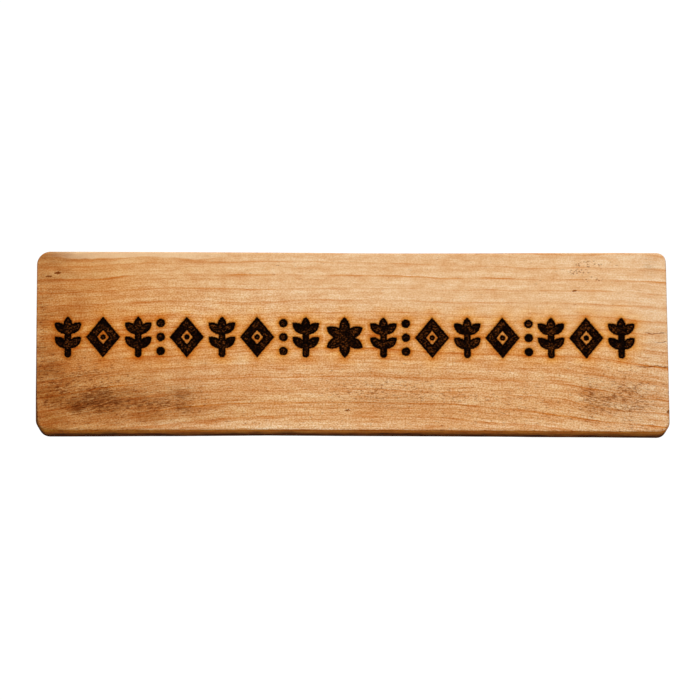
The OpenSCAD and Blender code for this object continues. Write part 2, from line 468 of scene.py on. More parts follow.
# The grain is quieter towards the top right
QUIET_UP, QUIET_SLOPE = (45, 75, 1, 0.46), 0.12
SPECKLE_SIZE = (0.80, 0.68, 0.60)
DARK_SPECKLE, BRIGHT_SPECKLE = (0.50, 0.64, 0, 0.58), (0.50, 0.36, 0, 0.68)
# Ovals that are full of dark flecks, and how many
FLECKED = (
    (-130, 22, 24, 17, 0.98),
    (-95, 13, 30, 7, 0.80),
    (14, 19, 28, 7, 0.70),
    (70, 14, 34, 8, 0.35),
    (128, 15.5, 16, 12.5, 0.90),
    (113, 17, 4.5, 10, 0.60),
    (136, 38, 14, 10, 0.20),
    (-146, 58, 6, 26, 0.75),
)
FLECKED_DOWN = (45, 15, 0, 0.3)
FLECK_GROUPS = Layer((14, 10, 5), 2, 0.5, 29, 0.3, 0.7, 0.5, 1.1)
DASH_SIZE = (2.6, 0.7, 0.5)
# How much likelier flecks make a pore, and where the noise turns into one
FLECK_BIAS, PORE_EDGE = 0.14, (0.62, 0.73)
PORE_SHARE = 0.78
# Heights for the bump, where 1 is the depth that BUMP_DEPTH gives
FIBRE_RISE, RING_RISE, PORE_RISE = -0.4, 0.35, -0.8


def streaks(wood, point, grain, quiet, fibre):
    broad = wood.times(wood.minus(wood.layer(grain, BROAD_STREAKS), 0.5), quiet)
    wood.tint(STREAK, wood.plus(broad, 0.5), BROAD_SHARE)
    wood.tint(STREAK, wood.layer(point, MOTTLE))
    wood.tint(STREAK, fibre, FIBRE_SHARE, quiet)
    wood.tint(BRIGHT, wood.layer(grain, GLEAM), quiet)


def speckled(wood, point, quiet):
    speckle = wood.noise(point, SPECKLE_SIZE, detail=0, seed=23)
    wood.tint(STREAK, wood.ease(speckle, *DARK_SPECKLE), quiet)
    wood.tint(BRIGHT, wood.ease(speckle, *BRIGHT_SPECKLE), quiet)


def dark_pores(wood, point, grain, x, z):
    """Short dark dashes along the grain, in groups."""
    density = wood.ease(z, *FLECKED_DOWN)
    for place in FLECKED:
        density = wood.plus(density, oval(wood, x, z, *place))
    group = wood.times(density, wood.layer(point, FLECK_GROUPS))
    dash = wood.noise(grain, DASH_SIZE, detail=3, roughness=0.65, seed=31)
    return wood.ease(wood.plus(dash, wood.times(group, FLECK_BIAS)), *PORE_EDGE)


def wood_grain(wood, point, grain):
    """Streaks, rings, speckle and pores over the wood's tone."""
    x, _, z = wood.parts(point)
    quiet = wood.ease(wood.plus(z, wood.times(x, QUIET_SLOPE)), *QUIET_UP)
    fibre = wood.layer(grain, FIBRES)
    streaks(wood, point, grain, quiet, fibre)
    lines = ring_lines(wood, grain)
    wood.tint(RING_LINE, lines)
    speckled(wood, point, quiet)
    pores = dark_pores(wood, point, grain, x, z)
    wood.tint(PORE, pores, PORE_SHARE)
    wood.rise(fibre, FIBRE_RISE)
    wood.rise(lines, RING_RISE)
    wood.rise(pores, PORE_RISE)


# ---- Marks of age ----

FRONT_ONLY = (6, 2)
# The pale strip along the top at the left end: sapwood, and a painted highlight of the top edge
SAP_AND_HIGHLIGHT_Z, SAP_AND_HIGHLIGHT_WAVE = 83.2, (5, (18, 12, 30), 2, 0.5, 37)
SAP_AND_HIGHLIGHT_RIGHT, SAP_AND_HIGHLIGHT_LEFT = (-45, -85), (-148, -130)
SAP_AND_HIGHLIGHT_BACK = (12, 1, 0.3, 1)
SAP_AND_HIGHLIGHT_EDGE = (-0.5, 0.8, 0, 0.48)
BORDER_FROM, BORDER_TO = (-2.2, -0.2), (0.5, 0)
BORDER_PATCHES = Layer((14, 10, 8), 2, 0.5, 109, 0.35, 0.6, 0.25, 0.85)
# Ovals that are stained, and how darkly
STAINS = (
    (-128, 11.5, 6.5, 3.4, 1),
    (-117, 15, 20, 4.5, 0.78),
    (-80, 17.5, 6, 3, 0.68),
    (-79, 10.5, 4, 1.8, 0.60),
    (-100, 12, 34, 9, 0.36),
    (-137, 84, 11, 2.2, 0.42),
    (-144, 28, 9, 16, 0.40),
    (115, 15, 8, 9, 0.30),
    (134, 16, 15, 10, 0.34),
    (112, 17, 2.2, 9, 0.26),
    (141.5, 79.5, 3.5, 4, 0.28),
    (17, 14, 26, 3, 0.22),
    (18, 26, 24, 6, 0.10),
    (142, 44, 9, 12, 0.13),
)
SMEARS = Layer((6, 4, 1.1), 4, 0.72, 41, 0.34, 0.64, 0.15, 1)
# The ovals of groups of brown specks, and of single nicks
SPECKS = ((112.5, 80.8, 7, 1.9), (107.5, 77, 5.5, 1.7), (114, 73.5, 5, 1.5))
SPECK_SIZE, SPECK_EDGE, SPECK_GROUP, SPECK_SHARE = (1.4, 1.2, 0.85), (0.46, 0.22), (0.2, 0.6), 0.7
NICKS = (
    (-139.8, 76, 1.6, 0.6),
    (-144, 74.3, 1.6, 0.5),
    (105.5, 67.8, 1, 0.5),
    (-2, 10.2, 1.3, 0.5),
    (149.5, 9.8, 1.2, 0.9),
)
NICK_WOBBLE, NICK_EDGE = (1.6, (1.2, 1, 0.8), 2, 0.6, 43), (0.25, 0.6)
# Cracks in the ends: where they start and end along X, and their height
CRACKS = ((133, 152, 31.4), (137, 149, 47.5), (142, 149.5, 43), (-152, -143.5, 40))
CRACK_SWAY = (3, (5, 4, 3), 2, 0.6, 47)
CRACK_START, CRACK_END = 4, 2
CRACK_WIDTH, CRACK_SHARE = (0.34, 0.10), 0.9
MARK_RISE = -3


def sapwood_and_highlight(wood, point, grain, x, y, z):
    """A pale strip under the top edge, partly sapwood and partly a painted highlight, with a darker
    border.
    """
    above = wood.minus(wood.plus(z, wood.wave(point, *SAP_AND_HIGHLIGHT_WAVE)), SAP_AND_HIGHLIGHT_Z)
    ends = wood.times(wood.ease(x, *SAP_AND_HIGHLIGHT_RIGHT), wood.ease(x, *SAP_AND_HIGHLIGHT_LEFT))
    # Paints the pale strip: sapwood, with the top edge's highlight painted in
    wood.cover(PALE, wood.ease(above, *SAP_AND_HIGHLIGHT_EDGE), ends, wood.ease(y, *SAP_AND_HIGHLIGHT_BACK))
    border = wood.times(wood.ease(above, *BORDER_FROM), wood.ease(above, *BORDER_TO), ends)
    wood.tint(STREAK, border, wood.layer(grain, BORDER_PATCHES))


def stains(wood, grain, x, z, front):
    smear = wood.layer(grain, SMEARS)
    for place in STAINS:
        wood.tint(STAIN, oval(wood, x, z, *place), smear, front)


def specks(wood, grain, x, z, front):
    dots = wood.spots(grain, SPECK_SIZE, seed=5)
    for place in SPECKS:
        group = wood.times(oval(wood, x, z, *place), front)
        wood.tint(PORE, wood.ease(dots, *SPECK_EDGE), wood.ease(group, *SPECK_GROUP), SPECK_SHARE)


def nicks(wood, point, x, z, front):
    wobble = wood.wave(point, *NICK_WOBBLE)
    for place in NICKS:
        nick = oval(wood, wood.plus(x, wobble), wood.plus(z, wobble), *place)
        nick = wood.times(wood.ease(nick, *NICK_EDGE), front)
        wood.tint(PORE, nick)
        wood.rise(nick, MARK_RISE)


def end_cracks(wood, point, x, z, front):
    level = wood.plus(z, wood.wave(point, *CRACK_SWAY))
    for start, end, up in CRACKS:
        along = wood.times(wood.ease(x, start, start + CRACK_START), wood.ease(x, end, end - CRACK_END))
        gap = wood.math("ABSOLUTE", wood.minus(level, up))
        crack = wood.times(wood.ease(gap, *CRACK_WIDTH), along, front)
        wood.tint(PORE, crack, CRACK_SHARE)
        wood.rise(crack, MARK_RISE)


def wood_marks(wood, point, grain):
    """Sapwood and a painted highlight along the top, and stains, specks, nicks and end cracks in the
    front.
    """
    x, y, z = wood.parts(point)
    front = wood.ease(y, *FRONT_ONLY)
    sapwood_and_highlight(wood, point, grain, x, y, z)
    stains(wood, grain, x, z, front)
    specks(wood, grain, x, z, front)
    nicks(wood, point, x, z, front)
    end_cracks(wood, point, x, z, front)


# ---- The sawn back ----

BACK_ONLY = (17, 17.9)
# Where the saw turned about, along X and Z, and how far apart its marks are
SAW_CENTRE = (60, -260)
SAW_PITCH = 3.1
SAW_DRIFT, SAW_DRIFT_SIZE = 3, (30, 30, 30)
SAW_EDGE, SAW_SHARE, SAW_RISE = (0.3, 1), 0.55, -1.6
SAW_DEPTH = Layer((25, 25, 12), 2, 0.5, 97, 0.35, 0.65, 0.15, 1)
BACK_UMBER = 0.22
FUZZ, FUZZ_SHARE, FUZZ_RISE = Layer((3, 1, 0.30), 2, 0.6, 101, 0.55, 0.75), 0.35, 0.8


def saw_marks(wood, point):
    """The arcs that a large round saw has left across the fuzzy back."""
    x, y, z = wood.parts(point)
    behind = wood.ease(y, *BACK_ONLY)
    along = wood.minus(x, SAW_CENTRE[0])
    up = wood.minus(z, SAW_CENTRE[1])
    drift = wood.times(wood.noise(point, SAW_DRIFT_SIZE, seed=89), SAW_DRIFT)
    turn = wood.times(wood.plus(wood.hypot(along, up), drift), 2 * math.pi / SAW_PITCH)
    swing = wood.math("SINE", turn)
    mark = wood.times(wood.ease(swing, *SAW_EDGE), wood.layer(point, SAW_DEPTH), behind)
    wood.tint(STREAK, mark, SAW_SHARE)
    wood.cover(UMBER, behind, BACK_UMBER)
    fuzz = wood.times(wood.layer(point, FUZZ), behind)
    wood.tint(BRIGHT, fuzz, FUZZ_SHARE)
    wood.rise(mark, SAW_RISE)
    wood.rise(fuzz, FUZZ_RISE)


# ---- Burnt marks ----

RAGGED = (1.1, (0.9, 0.8, 0.6), 3, 0.65, 53)
# Distances from a groove's side, negative inside, over which each kind of burning sets in
TOAST_REACH = (9.5, -1)
SINGE_REACH = (2.6, 0.5, 0, 0.86)
HALO_REACH, HALO_POWER, HALO_SHARE = (1.1, -0.2), 1.8, 0.95
CHAR_REACH = (0.30, -0.05)
EMBER_REACH = (-0.45, -1)
TOAST_PATCHES = Layer((16, 10, 4), 3, 0.6, 59, 0.34, 0.68, 0.35, 1)
EMBERS = Layer((1, 0.9, 0.7), 4, 0.72, 61, 0.48, 0.66)
EMBER_GROUPS = Layer((5, 5, 6), 2, 0.5, 67, 0.38, 0.62, 0.1, 1)
CRUST_RISE, CRUST_SIZE = 1.3, (0.8, 0.6, 0.45)
POLISH = Layer((3, 2, 0.8), 2, 0.6, 73, 0, 1, 0.44, 0.62)
CHAR_ROUGHNESS = 0.22
WOOD_SPECULAR = 0.006
BUMP_DEPTH = 0.028 * MM


def wood_burn(wood, point):
    """The scorch round the marks and the char in them. Also returns how charred the point is."""
    burn = wood.add("Attribute", attribute_name="burn").outputs["Fac"]
    distance = wood.plus(burn, wood.wave(point, *RAGGED))
    wood.tint(TOASTED, wood.ease(distance, *TOAST_REACH), wood.layer(point, TOAST_PATCHES))
    wood.tint(SINGED, wood.ease(distance, *SINGE_REACH))
    halo = wood.math("POWER", wood.ease(distance, *HALO_REACH), HALO_POWER)
    wood.cover(SCORCHED, halo, HALO_SHARE)
    char = wood.ease(distance, *CHAR_REACH)
    deep = wood.ease(burn, *EMBER_REACH)
    embers = wood.times(wood.layer(point, EMBERS), deep, wood.layer(point, EMBER_GROUPS))
    wood.cover(wood.mix("MIX", embers, CHAR, EMBER), char)
    crust = wood.noise(point, CRUST_SIZE, detail=3, roughness=0.7, seed=71)
    wood.rise(wood.times(crust, char), CRUST_RISE)
    return char


def burnt_wood():
    wood = Material("burnt_wood", HONEY)
    point = wood.place(PATTERN_ORIGIN)
    grain = along_grain(wood, point)
    wood_tone(wood, point)
    wood_grain(wood, point, grain)
    wood_marks(wood, point, grain)
    saw_marks(wood, point)
    char = wood_burn(wood, point)
    wood.set("Specular IOR Level", WOOD_SPECULAR)
    wood.finish(wood.plus(wood.layer(point, POLISH), wood.times(char, CHAR_ROUGHNESS)), BUMP_DEPTH)
    return wood.material


# ---- The board's mesh ----

# The face is a square grid. Its outer line lies this far inside the outline.
RIM = 2.6
# Insets from the outline of the rings of points that round the edge, outwards
RIM_INSETS = (2.2, 1.65, 1.2, 0.85, 0.55, 0.32, 0.16, 0.05, 0.0)
WALL_PITCH = 2
# How far apart the grid's lines are over a zone at its edges, and elsewhere
EDGE_PITCH = 0.40
EDGE_ZONE = 4.3
PLAIN_PITCH = 2.6
# The fine rows' reach past the ornament and pitch, and the steps to the next rows, each of which has
# half the columns
BAND_MARGIN = 1.2
BAND_ROW = 0.325
BAND_STEPS = (0.5, 0.9, 1.6)
# Beyond this distance a burnt mark has no effect
BURN_REACH = 10
# A groove's floor lies deeper than this
LEAST_DEPTH = 0.1
# The part along Y of the normals of floors and walls
FACES_FRONT, UPRIGHT = -0.9999, 0.1
# Two places count as the same within this
CLOSE = 0.01 * MM

# Corner radii, by side: -1 is left or bottom, and 1 is right or top
CORNERS = {(-1, -1): 5.5, (1, -1): 5, (1, 1): 4.5, (-1, 1): 6.5}
# A wander is an amount, a size and a seed, and a hollow is a depth, a middle along X and a width
TOP_INSET, TOP_HOLLOW, TOP_WANDER = 0.05, (0.45, 20, 65), (0.05, 45, 3)
BOTTOM_INSET, BOTTOM_HOLLOW, BOTTOM_WANDER = 0.05, (0.20, -42, 30), (0.05, 30, 5)
BOTTOM_ARCH, ARCH_POWER = 0.50, 1.5
LEFT_INSET, LEFT_WANDER = 0.10, (0.08, 16, 7)
RIGHT_INSET, RIGHT_WANDER = 0.25, (0.08, 14, 9)
# How far the left and the right end lean over the board's height
LEANS = (0.95, 0.65)
FACE_HOLLOW, FACE_WANDER = 0.03, (1, 60, 25)
EDGE_ROUND = 0.80
LEAST_ROUND = 0.45
ROUND_SLOW, ROUND_FAST = (0.22, 9, 13), (0.10, 3, 15)
# Where handling has worn the lower edge rounder: middle along X, length, and the extra radius
WORN = ((-150, 48, 0.6), (-150, 10, 0.9), (150, 12, 0.8))
WORN_HEIGHT = 15
# The grooves' sides are ragged, begin this far outside the CAD's, and slope over this width
RAGGED_SLOW, RAGGED_FAST = (0.22, 1.4, 17), (0.12, 0.55, 19)
SLOPE_OUT, SLOPE_WIDTH = 0.22, 0.62
# The grooves' floors, as a share of the CAD's depth, have ridges along the grain and crumbs
FLOOR_LEVEL, FLOOR_RIDGES, FLOOR_CRUMBS = 0.86, (0.14, 3.2, 21), (0.06, 0.7, 23)
RIDGE_STRETCH = 3.5
# The heat has shrunk the wood beside a groove by so much, over about this distance
SHRUNK, SHRUNK_REACH = 0.05, 0.8


def spaced(start, end, pitch):
    """Points from start to end, both included, about a pitch apart, which is in mm."""
    return np.linspace(start, end, max(2, round(abs(end - start) / (pitch * MM)) + 1))


def wander(x, z, amount, size, seed):
    """Smooth noise over the face, up to about the amount either way."""
    return amount * noise.noise(Vector((x / size / MM + seed, z / size / MM, seed * 1.7)))


def bell(x, height, middle, width):
    """The height at the middle, in mm from the board's middle, falling to nothing on both sides."""
    return height * math.exp(-(((x - BOARD_MID.x) / MM - middle) / width) ** 2)


class Groove:
    """The burnt grooves of the CAD board, as distances on its face."""

    def __init__(self):
        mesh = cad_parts["board"].data
        points = [v.co.copy() for v in mesh.vertices]
        levels = {round(p.center.y, 5) for p in mesh.polygons if p.normal.y < FACES_FRONT}
        self.floor_y = min(level for level in levels if level > FRONT_Y + LEAST_DEPTH * MM)
        self.depth = self.floor_y - FRONT_Y
        floor, walls = [], []
        for face in mesh.polygons:
            ys = [points[i].y for i in face.vertices]
            if face.normal.y < FACES_FRONT and abs(face.center.y - self.floor_y) < CLOSE:
                floor.append(tuple(face.vertices))
            elif abs(face.normal.y) < UPRIGHT and max(ys) < self.floor_y + CLOSE:
                walls.append(tuple(face.vertices))
        heights = [points[i].z for face in floor for i in face]
        self.low, self.high = min(heights), max(heights)
        self.floor = BVHTree.FromPolygons(points, floor)
        self.walls = BVHTree.FromPolygons(points, walls)

    def distance(self, x, z):
        """Distance to the nearest groove's side, in mm, negative in a groove."""
        reach = BURN_REACH * MM
        if not self.low - reach < z < self.high + reach:
            return BURN_REACH
        side = self.walls.find_nearest(Vector((x, (FRONT_Y + self.floor_y) / 2, z)), reach)
        if side[0] is None:
            return BURN_REACH
        under = self.floor.find_nearest(Vector((x, self.floor_y, z)), CLOSE)
        return side[3] / MM * (-1 if under[0] is not None else 1)


class BoardMesh:
    """A closed mesh of the board, with fine rows where the ornament is."""

    def __init__(self):
        self.groove = Groove()
        self.points = []
        self.burns = []
        self.faces = []

    def columns(self):
        """The places of the plain columns, and the first and last of those that are split."""
        left, right = BOARD_LOW.x + RIM * MM, BOARD_HIGH.x - RIM * MM
        zone = EDGE_ZONE * MM
        start = spaced(left, left + zone, EDGE_PITCH)
        middle = spaced(left + zone, right - zone, PLAIN_PITCH)
        end = spaced(right - zone, right, EDGE_PITCH)
        return np.concatenate((start[:-1], middle, end[1:])), len(start) - 1, len(start) + len(middle) - 2

    def row_x(self, level):
        """The places along a row whose middle columns are each split in two, level times over."""
        plain, first, last = self.columns()
        parts = 2**level
        middle = [np.linspace(a, b, parts + 1)[:-1] for a, b in zip(plain[first:last], plain[first + 1:])]
        return np.concatenate((plain[:first], *middle, plain[last:]))

    def rows(self):
        """Each row's height and level, from the bottom to the top."""
        bottom, top = BOARD_LOW.z + RIM * MM, BOARD_HIGH.z - RIM * MM
        zone = EDGE_ZONE * MM
        band_low = self.groove.low - BAND_MARGIN * MM
        band_high = self.groove.high + BAND_MARGIN * MM
        steps = np.cumsum(BAND_STEPS) * MM
        levels = len(BAND_STEPS)
        lower = [(z, levels - 1 - i) for i, z in enumerate(band_low - steps)][::-1]
        upper = [(z, levels - 1 - i) for i, z in enumerate(band_high + steps)]
        rows = [(z, 0) for z in spaced(bottom, bottom + zone, EDGE_PITCH)[:-1]]
        rows += [(z, 0) for z in spaced(bottom + zone, lower[0][0], PLAIN_PITCH)[:-1]]
        rows += lower
        rows += [(z, levels) for z in spaced(band_low, band_high, BAND_ROW)]
        rows += upper
        rows += [(z, 0) for z in spaced(upper[-1][0], top - zone, PLAIN_PITCH)[1:]]
        rows += [(z, 0) for z in spaced(top - zone, top, EDGE_PITCH)[1:]]
        return rows

    def rounded(self, x, z):
        """Moves a point of the square grid so that the grid's corners are round.

        Returns its new x and z, and the outward direction there.
        """
        side_x, side_z = (-1 if x < BOARD_MID.x else 1), (-1 if z < BOARD_MID.z else 1)
        edge_x, edge_z = (BOARD_LOW.x, BOARD_HIGH.x)[side_x > 0], (BOARD_LOW.z, BOARD_HIGH.z)[side_z > 0]
        radius = CORNERS[side_x, side_z] * MM
        centre_x, centre_z = edge_x - side_x * radius, edge_z - side_z * radius
        out_x, out_z = (x - centre_x) * side_x, (z - centre_z) * side_z
        if out_x > 0 and out_z > 0:
            length, reach = math.hypot(out_x, out_z), max(out_x, out_z)
            way_x, way_z = out_x / length * side_x, out_z / length * side_z
            return centre_x + way_x * reach, centre_z + way_z * reach, way_x, way_z
        nearer_x = (x - edge_x) * side_x > (z - edge_z) * side_z
        return (x, z, side_x, 0) if nearer_x else (x, z, 0, side_z)

    def uneven(self, x, z):
        """Takes the sawn and sanded outline a little out of square, always inwards."""
        along = (x - BOARD_LOW.x) / (BOARD_HIGH.x - BOARD_LOW.x)
        up = (z - BOARD_LOW.z) / (BOARD_HIGH.z - BOARD_LOW.z)
        arch = (4 * along * (1 - along)) ** ARCH_POWER
        top = TOP_INSET + bell(x, *TOP_HOLLOW) + wander(x, 0, *TOP_WANDER)
        bottom = BOTTOM_INSET + BOTTOM_ARCH * arch + bell(x, *BOTTOM_HOLLOW) + wander(x, 0, *BOTTOM_WANDER)
        left = LEFT_INSET + LEANS[0] * (1 - up) + wander(0, z, *LEFT_WANDER)
        right = RIGHT_INSET + LEANS[1] * up + wander(0, z, *RIGHT_WANDER)
        x += (left * (1 - along) - right * along) * MM
        z += (bottom * (1 - up) - top * up) * MM
        return x, z

    def edge_round(self, x, z, handled):
        """The radius of the eased edge. The front one is handled, which has worn it unevenly."""
        worn = wander(x, z, *ROUND_SLOW) + wander(x, z, *ROUND_FAST)
        low = math.exp(-(((z - BOARD_LOW.z) / MM / WORN_HEIGHT) ** 2))
        for middle, length, extra in WORN:
            worn += bell(x, handled * extra * low, middle, length)
        return min(max(EDGE_ROUND + worn, LEAST_ROUND), RIM_INSETS[0]) * MM

    def sunk(self, burn, x, z):
        """How deep the front lies: grooves with uneven floors and soft, ragged sides."""
        ragged = wander(x, z, *RAGGED_SLOW) + wander(x, z, *RAGGED_FAST)
        inside = -(burn + ragged)
        share = min(max((inside + SLOPE_OUT) / SLOPE_WIDTH, 0.0), 1.0)
        share = share * share * (3 - 2 * share)
        floor = FLOOR_LEVEL + wander(x, z * RIDGE_STRETCH, *FLOOR_RIDGES) + wander(x, z, *FLOOR_CRUMBS)
        shrunk = SHRUNK * math.exp(-max(burn, 0.0) / SHRUNK_REACH)
        return (share * min(floor, 1.0) * self.groove.depth / MM + shrunk * (1 - share)) * MM

    def add_point(self, x, y, z, burn=BURN_REACH):
        self.points.append((x, y, z))
        self.burns.append(burn)
        return len(self.points) - 1

    def front_row(self, z, level):
        made = []
        for x in self.row_x(level):
            px, pz, _, _ = self.rounded(x, z)
            burn = self.groove.distance(px, pz)
            hollow = FACE_HOLLOW * (1 + wander(px, pz, *FACE_WANDER)) * MM
            ux, uz = self.uneven(px, pz)
            made.append(self.add_point(ux, FRONT_Y + self.sunk(burn, px, pz) + hollow, uz, burn))
        return made

    def stitch(self, lower, upper, low_level, high_level):
        """Faces between two rows. Where one is split more finely, each of its pairs meets one step."""
        if low_level == high_level:
            self.faces += [(a, b, d, c) for a, b, c, d in zip(lower, lower[1:], upper, upper[1:])]
            return
        flip = low_level > high_level
        fine, coarse = (lower, upper) if flip else (upper, lower)
        _, first, last = self.columns()
        split_end = first + (last - first) * 2 ** min(low_level, high_level)
        at = 0
        for i, (a, b) in enumerate(zip(coarse, coarse[1:])):
            if first <= i < split_end:
                p, q, r = fine[at:at + 3]
                made = [(a, q, p), (a, b, q), (b, r, q)]
                at += 2
            else:
                p, q = fine[at:at + 2]
                made = [(a, b, q, p)]
                at += 1
            self.faces += [face[::-1] for face in made] if flip else made

    def loop(self, rows):
        """The outer points of a stack of rows, anticlockwise as seen from the front."""
        right = [row[-1] for row in rows[1:-1]]
        left = [row[0] for row in rows[1:-1]]
        return rows[0] + right + rows[-1][::-1] + left[::-1]

    def build(self):
        rows = self.rows()
        front = [self.front_row(z, level) for z, level in rows]
        for i in range(len(rows) - 1):
            self.stitch(front[i], front[i + 1], rows[i][1], rows[i + 1][1])
        plain = self.row_x(0)
        rim = [self.rounded(x, z) for x, z in self.loop([[(x, z) for x in plain] for z, _ in rows])]
        ring = self.loop(front)
        for inset in RIM_INSETS:
            ring = self.next_ring(rim, ring, inset, lambda radius: FRONT_Y + self.drop(radius, inset), 1.0)
        for y in spaced(FRONT_Y + RIM * MM, BOARD_HIGH.y - RIM * MM, WALL_PITCH):
            ring = self.next_ring(rim, ring, 0.0, lambda radius: y)
        for inset in RIM_INSETS[::-1] + (RIM,):
            ring = self.next_ring(rim, ring, inset, lambda radius: BOARD_HIGH.y - self.drop(radius, inset))
        self.close_back(rows, plain, ring)

    def next_ring(self, rim, ring, inset, level, handled=0.0):
        """Adds a ring of points at the inset, and faces that join it to the ring before it."""
        made = []
        out = (RIM - inset) * MM
        for x, z, way_x, way_z in rim:
            px, pz = x + way_x * out, z + way_z * out
            y = level(self.edge_round(px, pz, handled))
            ux, uz = self.uneven(px, pz)
            made.append(self.add_point(ux, y, uz))
        for i in range(len(made)):
            j = (i + 1) % len(made)
            self.faces.append((ring[j], ring[i], made[i], made[j]))
        return made

    @staticmethod
    def drop(radius, inset):
        """How far an edge of this radius has fallen from the face at an inset."""
        short = radius - inset * MM
        return radius - math.sqrt(max(radius * radius - short * short, 0.0)) if short > 0 else 0.0

    def close_back(self, rows, plain, ring):
        """Fills the back with a plain grid that shares the last ring's points."""
        wide, tall = len(plain), len(rows) - 2
        left = ring[2 * wide + tall:][::-1]
        back = [ring[:wide]]
        for i, (z, _) in enumerate(rows[1:-1]):
            row = [left[i]]
            for x in plain[1:-1]:
                ux, uz = self.uneven(*self.rounded(x, z)[:2])
                row.append(self.add_point(ux, BOARD_HIGH.y, uz))
            back.append(row + [ring[wide + i]])
        back.append(ring[wide + tall:2 * wide + tall][::-1])
        for lower, upper in zip(back, back[1:]):
            self.faces += [(b, a, c, d) for a, b, c, d in zip(lower, lower[1:], upper, upper[1:])]

    def make(self, name):
        self.build()
        mesh = bpy.data.meshes.new(name)
        mesh.from_pydata(self.points, [], self.faces)
        mesh.attributes.new("burn", "FLOAT", "POINT").data.foreach_set("value", self.burns)
        mesh.shade_smooth()
        mesh.update()
        return mesh


# ---- Steel and felt ----

HANGER_ZINC, HANGER_DULL = (0.66, 0.66, 0.645, 1), 0.34
NAIL_ZINC, NAIL_DULL = (0.60, 0.575, 0.52, 1), 0.28
PLATING, PLATING_TINT = Layer((2.2, 2.2, 2.2), 3, 0.6, 3, 0.35, 0.68), (0.72, 0.73, 0.76, 1)
DULL_SPOTS, SPOT_TINT = Layer((0.7, 0.7, 0.7), 2, 0.6, 9, 0.66, 0.74), (0.55, 0.50, 0.44, 1)
SCRATCHES = Layer((3, 0.4, 0.05), 1, 0.5, 13, 0.70, 0.76)
ROLLED_SIZE, ROLLED_EDGE, ROLLED_ROUGH = (9, 0.06, 0.06), (0.2, 0.8), (-0.07, 0.08)
PLATING_SHARE, PLATING_ROUGH = 0.45, 0.10
SPOT_SHARE, SPOT_ROUGH = 0.6, 0.15
ROLLED_RISE, SCRATCH_RISE, SPOT_RISE = 0.5, -0.6, -0.3
STEEL_DEPTH = 0.012 * MM

FELT_DARK, FELT_PALE = (0.032, 0.029, 0.027, 1), (0.15, 0.14, 0.135, 1)
LYING_SIZE, STANDING_SIZE, MAT_EDGE = (1.6, 0.25, 0.16), (0.16, 0.25, 1.6), (0.42, 0.75)
CLUMP_SIZE, CLUMP_EDGE, CLUMP_TINT = (1.1, 1.1, 1.1), (0.4, 0.65), (0.62, 0.60, 0.60, 1)
LINT, LINT_COLOUR = Layer((0.9, 0.12, 0.12), 1, 0.5, 17, 0.72, 0.78, 0, 0.5), (0.42, 0.40, 0.38, 1)
FELT_ROUGHNESS = 0.95
MAT_RISE, CLUMP_RISE = 1, 0.8
FELT_DEPTH = 0.12 * MM


def plated_steel(name, colour, dull):
    """Zinc-plated steel with rolling lines, cloudy plating, fine scratches and dull spots."""
    steel = Material(name, colour)
    point = steel.place(PATTERN_ORIGIN)
    cloud = steel.layer(point, PLATING)
    steel.tint(PLATING_TINT, cloud, PLATING_SHARE)
    spot = steel.layer(point, DULL_SPOTS)
    steel.tint(SPOT_TINT, spot, SPOT_SHARE)
    rolled = steel.noise(point, ROLLED_SIZE, roughness=0.6, seed=5)
    roughness = steel.ease(rolled, *ROLLED_EDGE, dull + ROLLED_ROUGH[0], dull + ROLLED_ROUGH[1])
    roughness = steel.plus(roughness, steel.times(cloud, PLATING_ROUGH))
    roughness = steel.plus(roughness, steel.times(spot, SPOT_ROUGH))
    steel.rise(rolled, ROLLED_RISE)
    steel.rise(steel.layer(point, SCRATCHES), SCRATCH_RISE)
    steel.rise(spot, SPOT_RISE)
    steel.set("Metallic", 1)
    steel.finish(roughness, STEEL_DEPTH)
    return steel.material


def pressed_felt():
    """Dark wool felt: matted fibres that lie in all directions, and pale lint."""
    felt = Material("pressed_felt", FELT_DARK)
    point = felt.place(PATTERN_ORIGIN)
    lying = felt.noise(point, LYING_SIZE, roughness=0.6, seed=3)
    standing = felt.noise(point, STANDING_SIZE, roughness=0.6, seed=7)
    mat = felt.math("MAXIMUM", lying, standing)
    clump = felt.noise(point, CLUMP_SIZE, detail=3, roughness=0.6, seed=11)
    felt.cover(FELT_PALE, felt.ease(mat, *MAT_EDGE))
    felt.tint(CLUMP_TINT, felt.ease(clump, *CLUMP_EDGE))
    felt.cover(LINT_COLOUR, felt.layer(point, LINT))
    felt.rise(mat, MAT_RISE)
    felt.rise(clump, CLUMP_RISE)
    felt.set("Specular IOR Level", 0.1)
    felt.set("Sheen Weight", 0.25)
    felt.set("Sheen Roughness", 0.5)
    felt.finish(FELT_ROUGHNESS, FELT_DEPTH)
    return felt.material


# ---- The hanger, nails and felt pads ----

HANGER_BEVEL, BEVEL_STEPS = 0.12, 2
# Angles between facets of one face, at a cut or bent edge, and at an edge that is shaded sharp
FLAT_ANGLE, CUT_ANGLE, SHARP_ANGLE = math.radians(2), math.radians(35), math.radians(28)
# Facets round a nail or a pad
AROUND = 48
SHANK_RADIUS = 0.75
NAIL_HEAD_H = 0.9
NAIL_POINT = 2
# The nail's domed head: points over it, height, how its sides fall off, and width
DOME_POINTS, DOME_HEIGHT, DOME_POWER, DOME_WIDTH = 9, 0.8, 2.2, 0.97
# The head's widest place and its underside
RIM_DOWN, UNDER_WIDTH = 0.88, 0.985
DENT, DENT_SIZE, DENT_DOWN = 0.16, 1.3, 0.7
DENT_SEEDS = {"left": 3, "right": 8}
PAD_EDGE = 0.45
# The pad's points, over the wall face, round its edge, down its side and over the glued face
WALL_SHARES = (0.2, 0.35, 0.5, 0.65, 0.8, 0.9, 0.95)
EDGE_ANGLES = (0.4, 0.8, 1.2)
SIDE_POINTS = 5
GLUED_SHARES = (0.85, 0.6, 0.3)
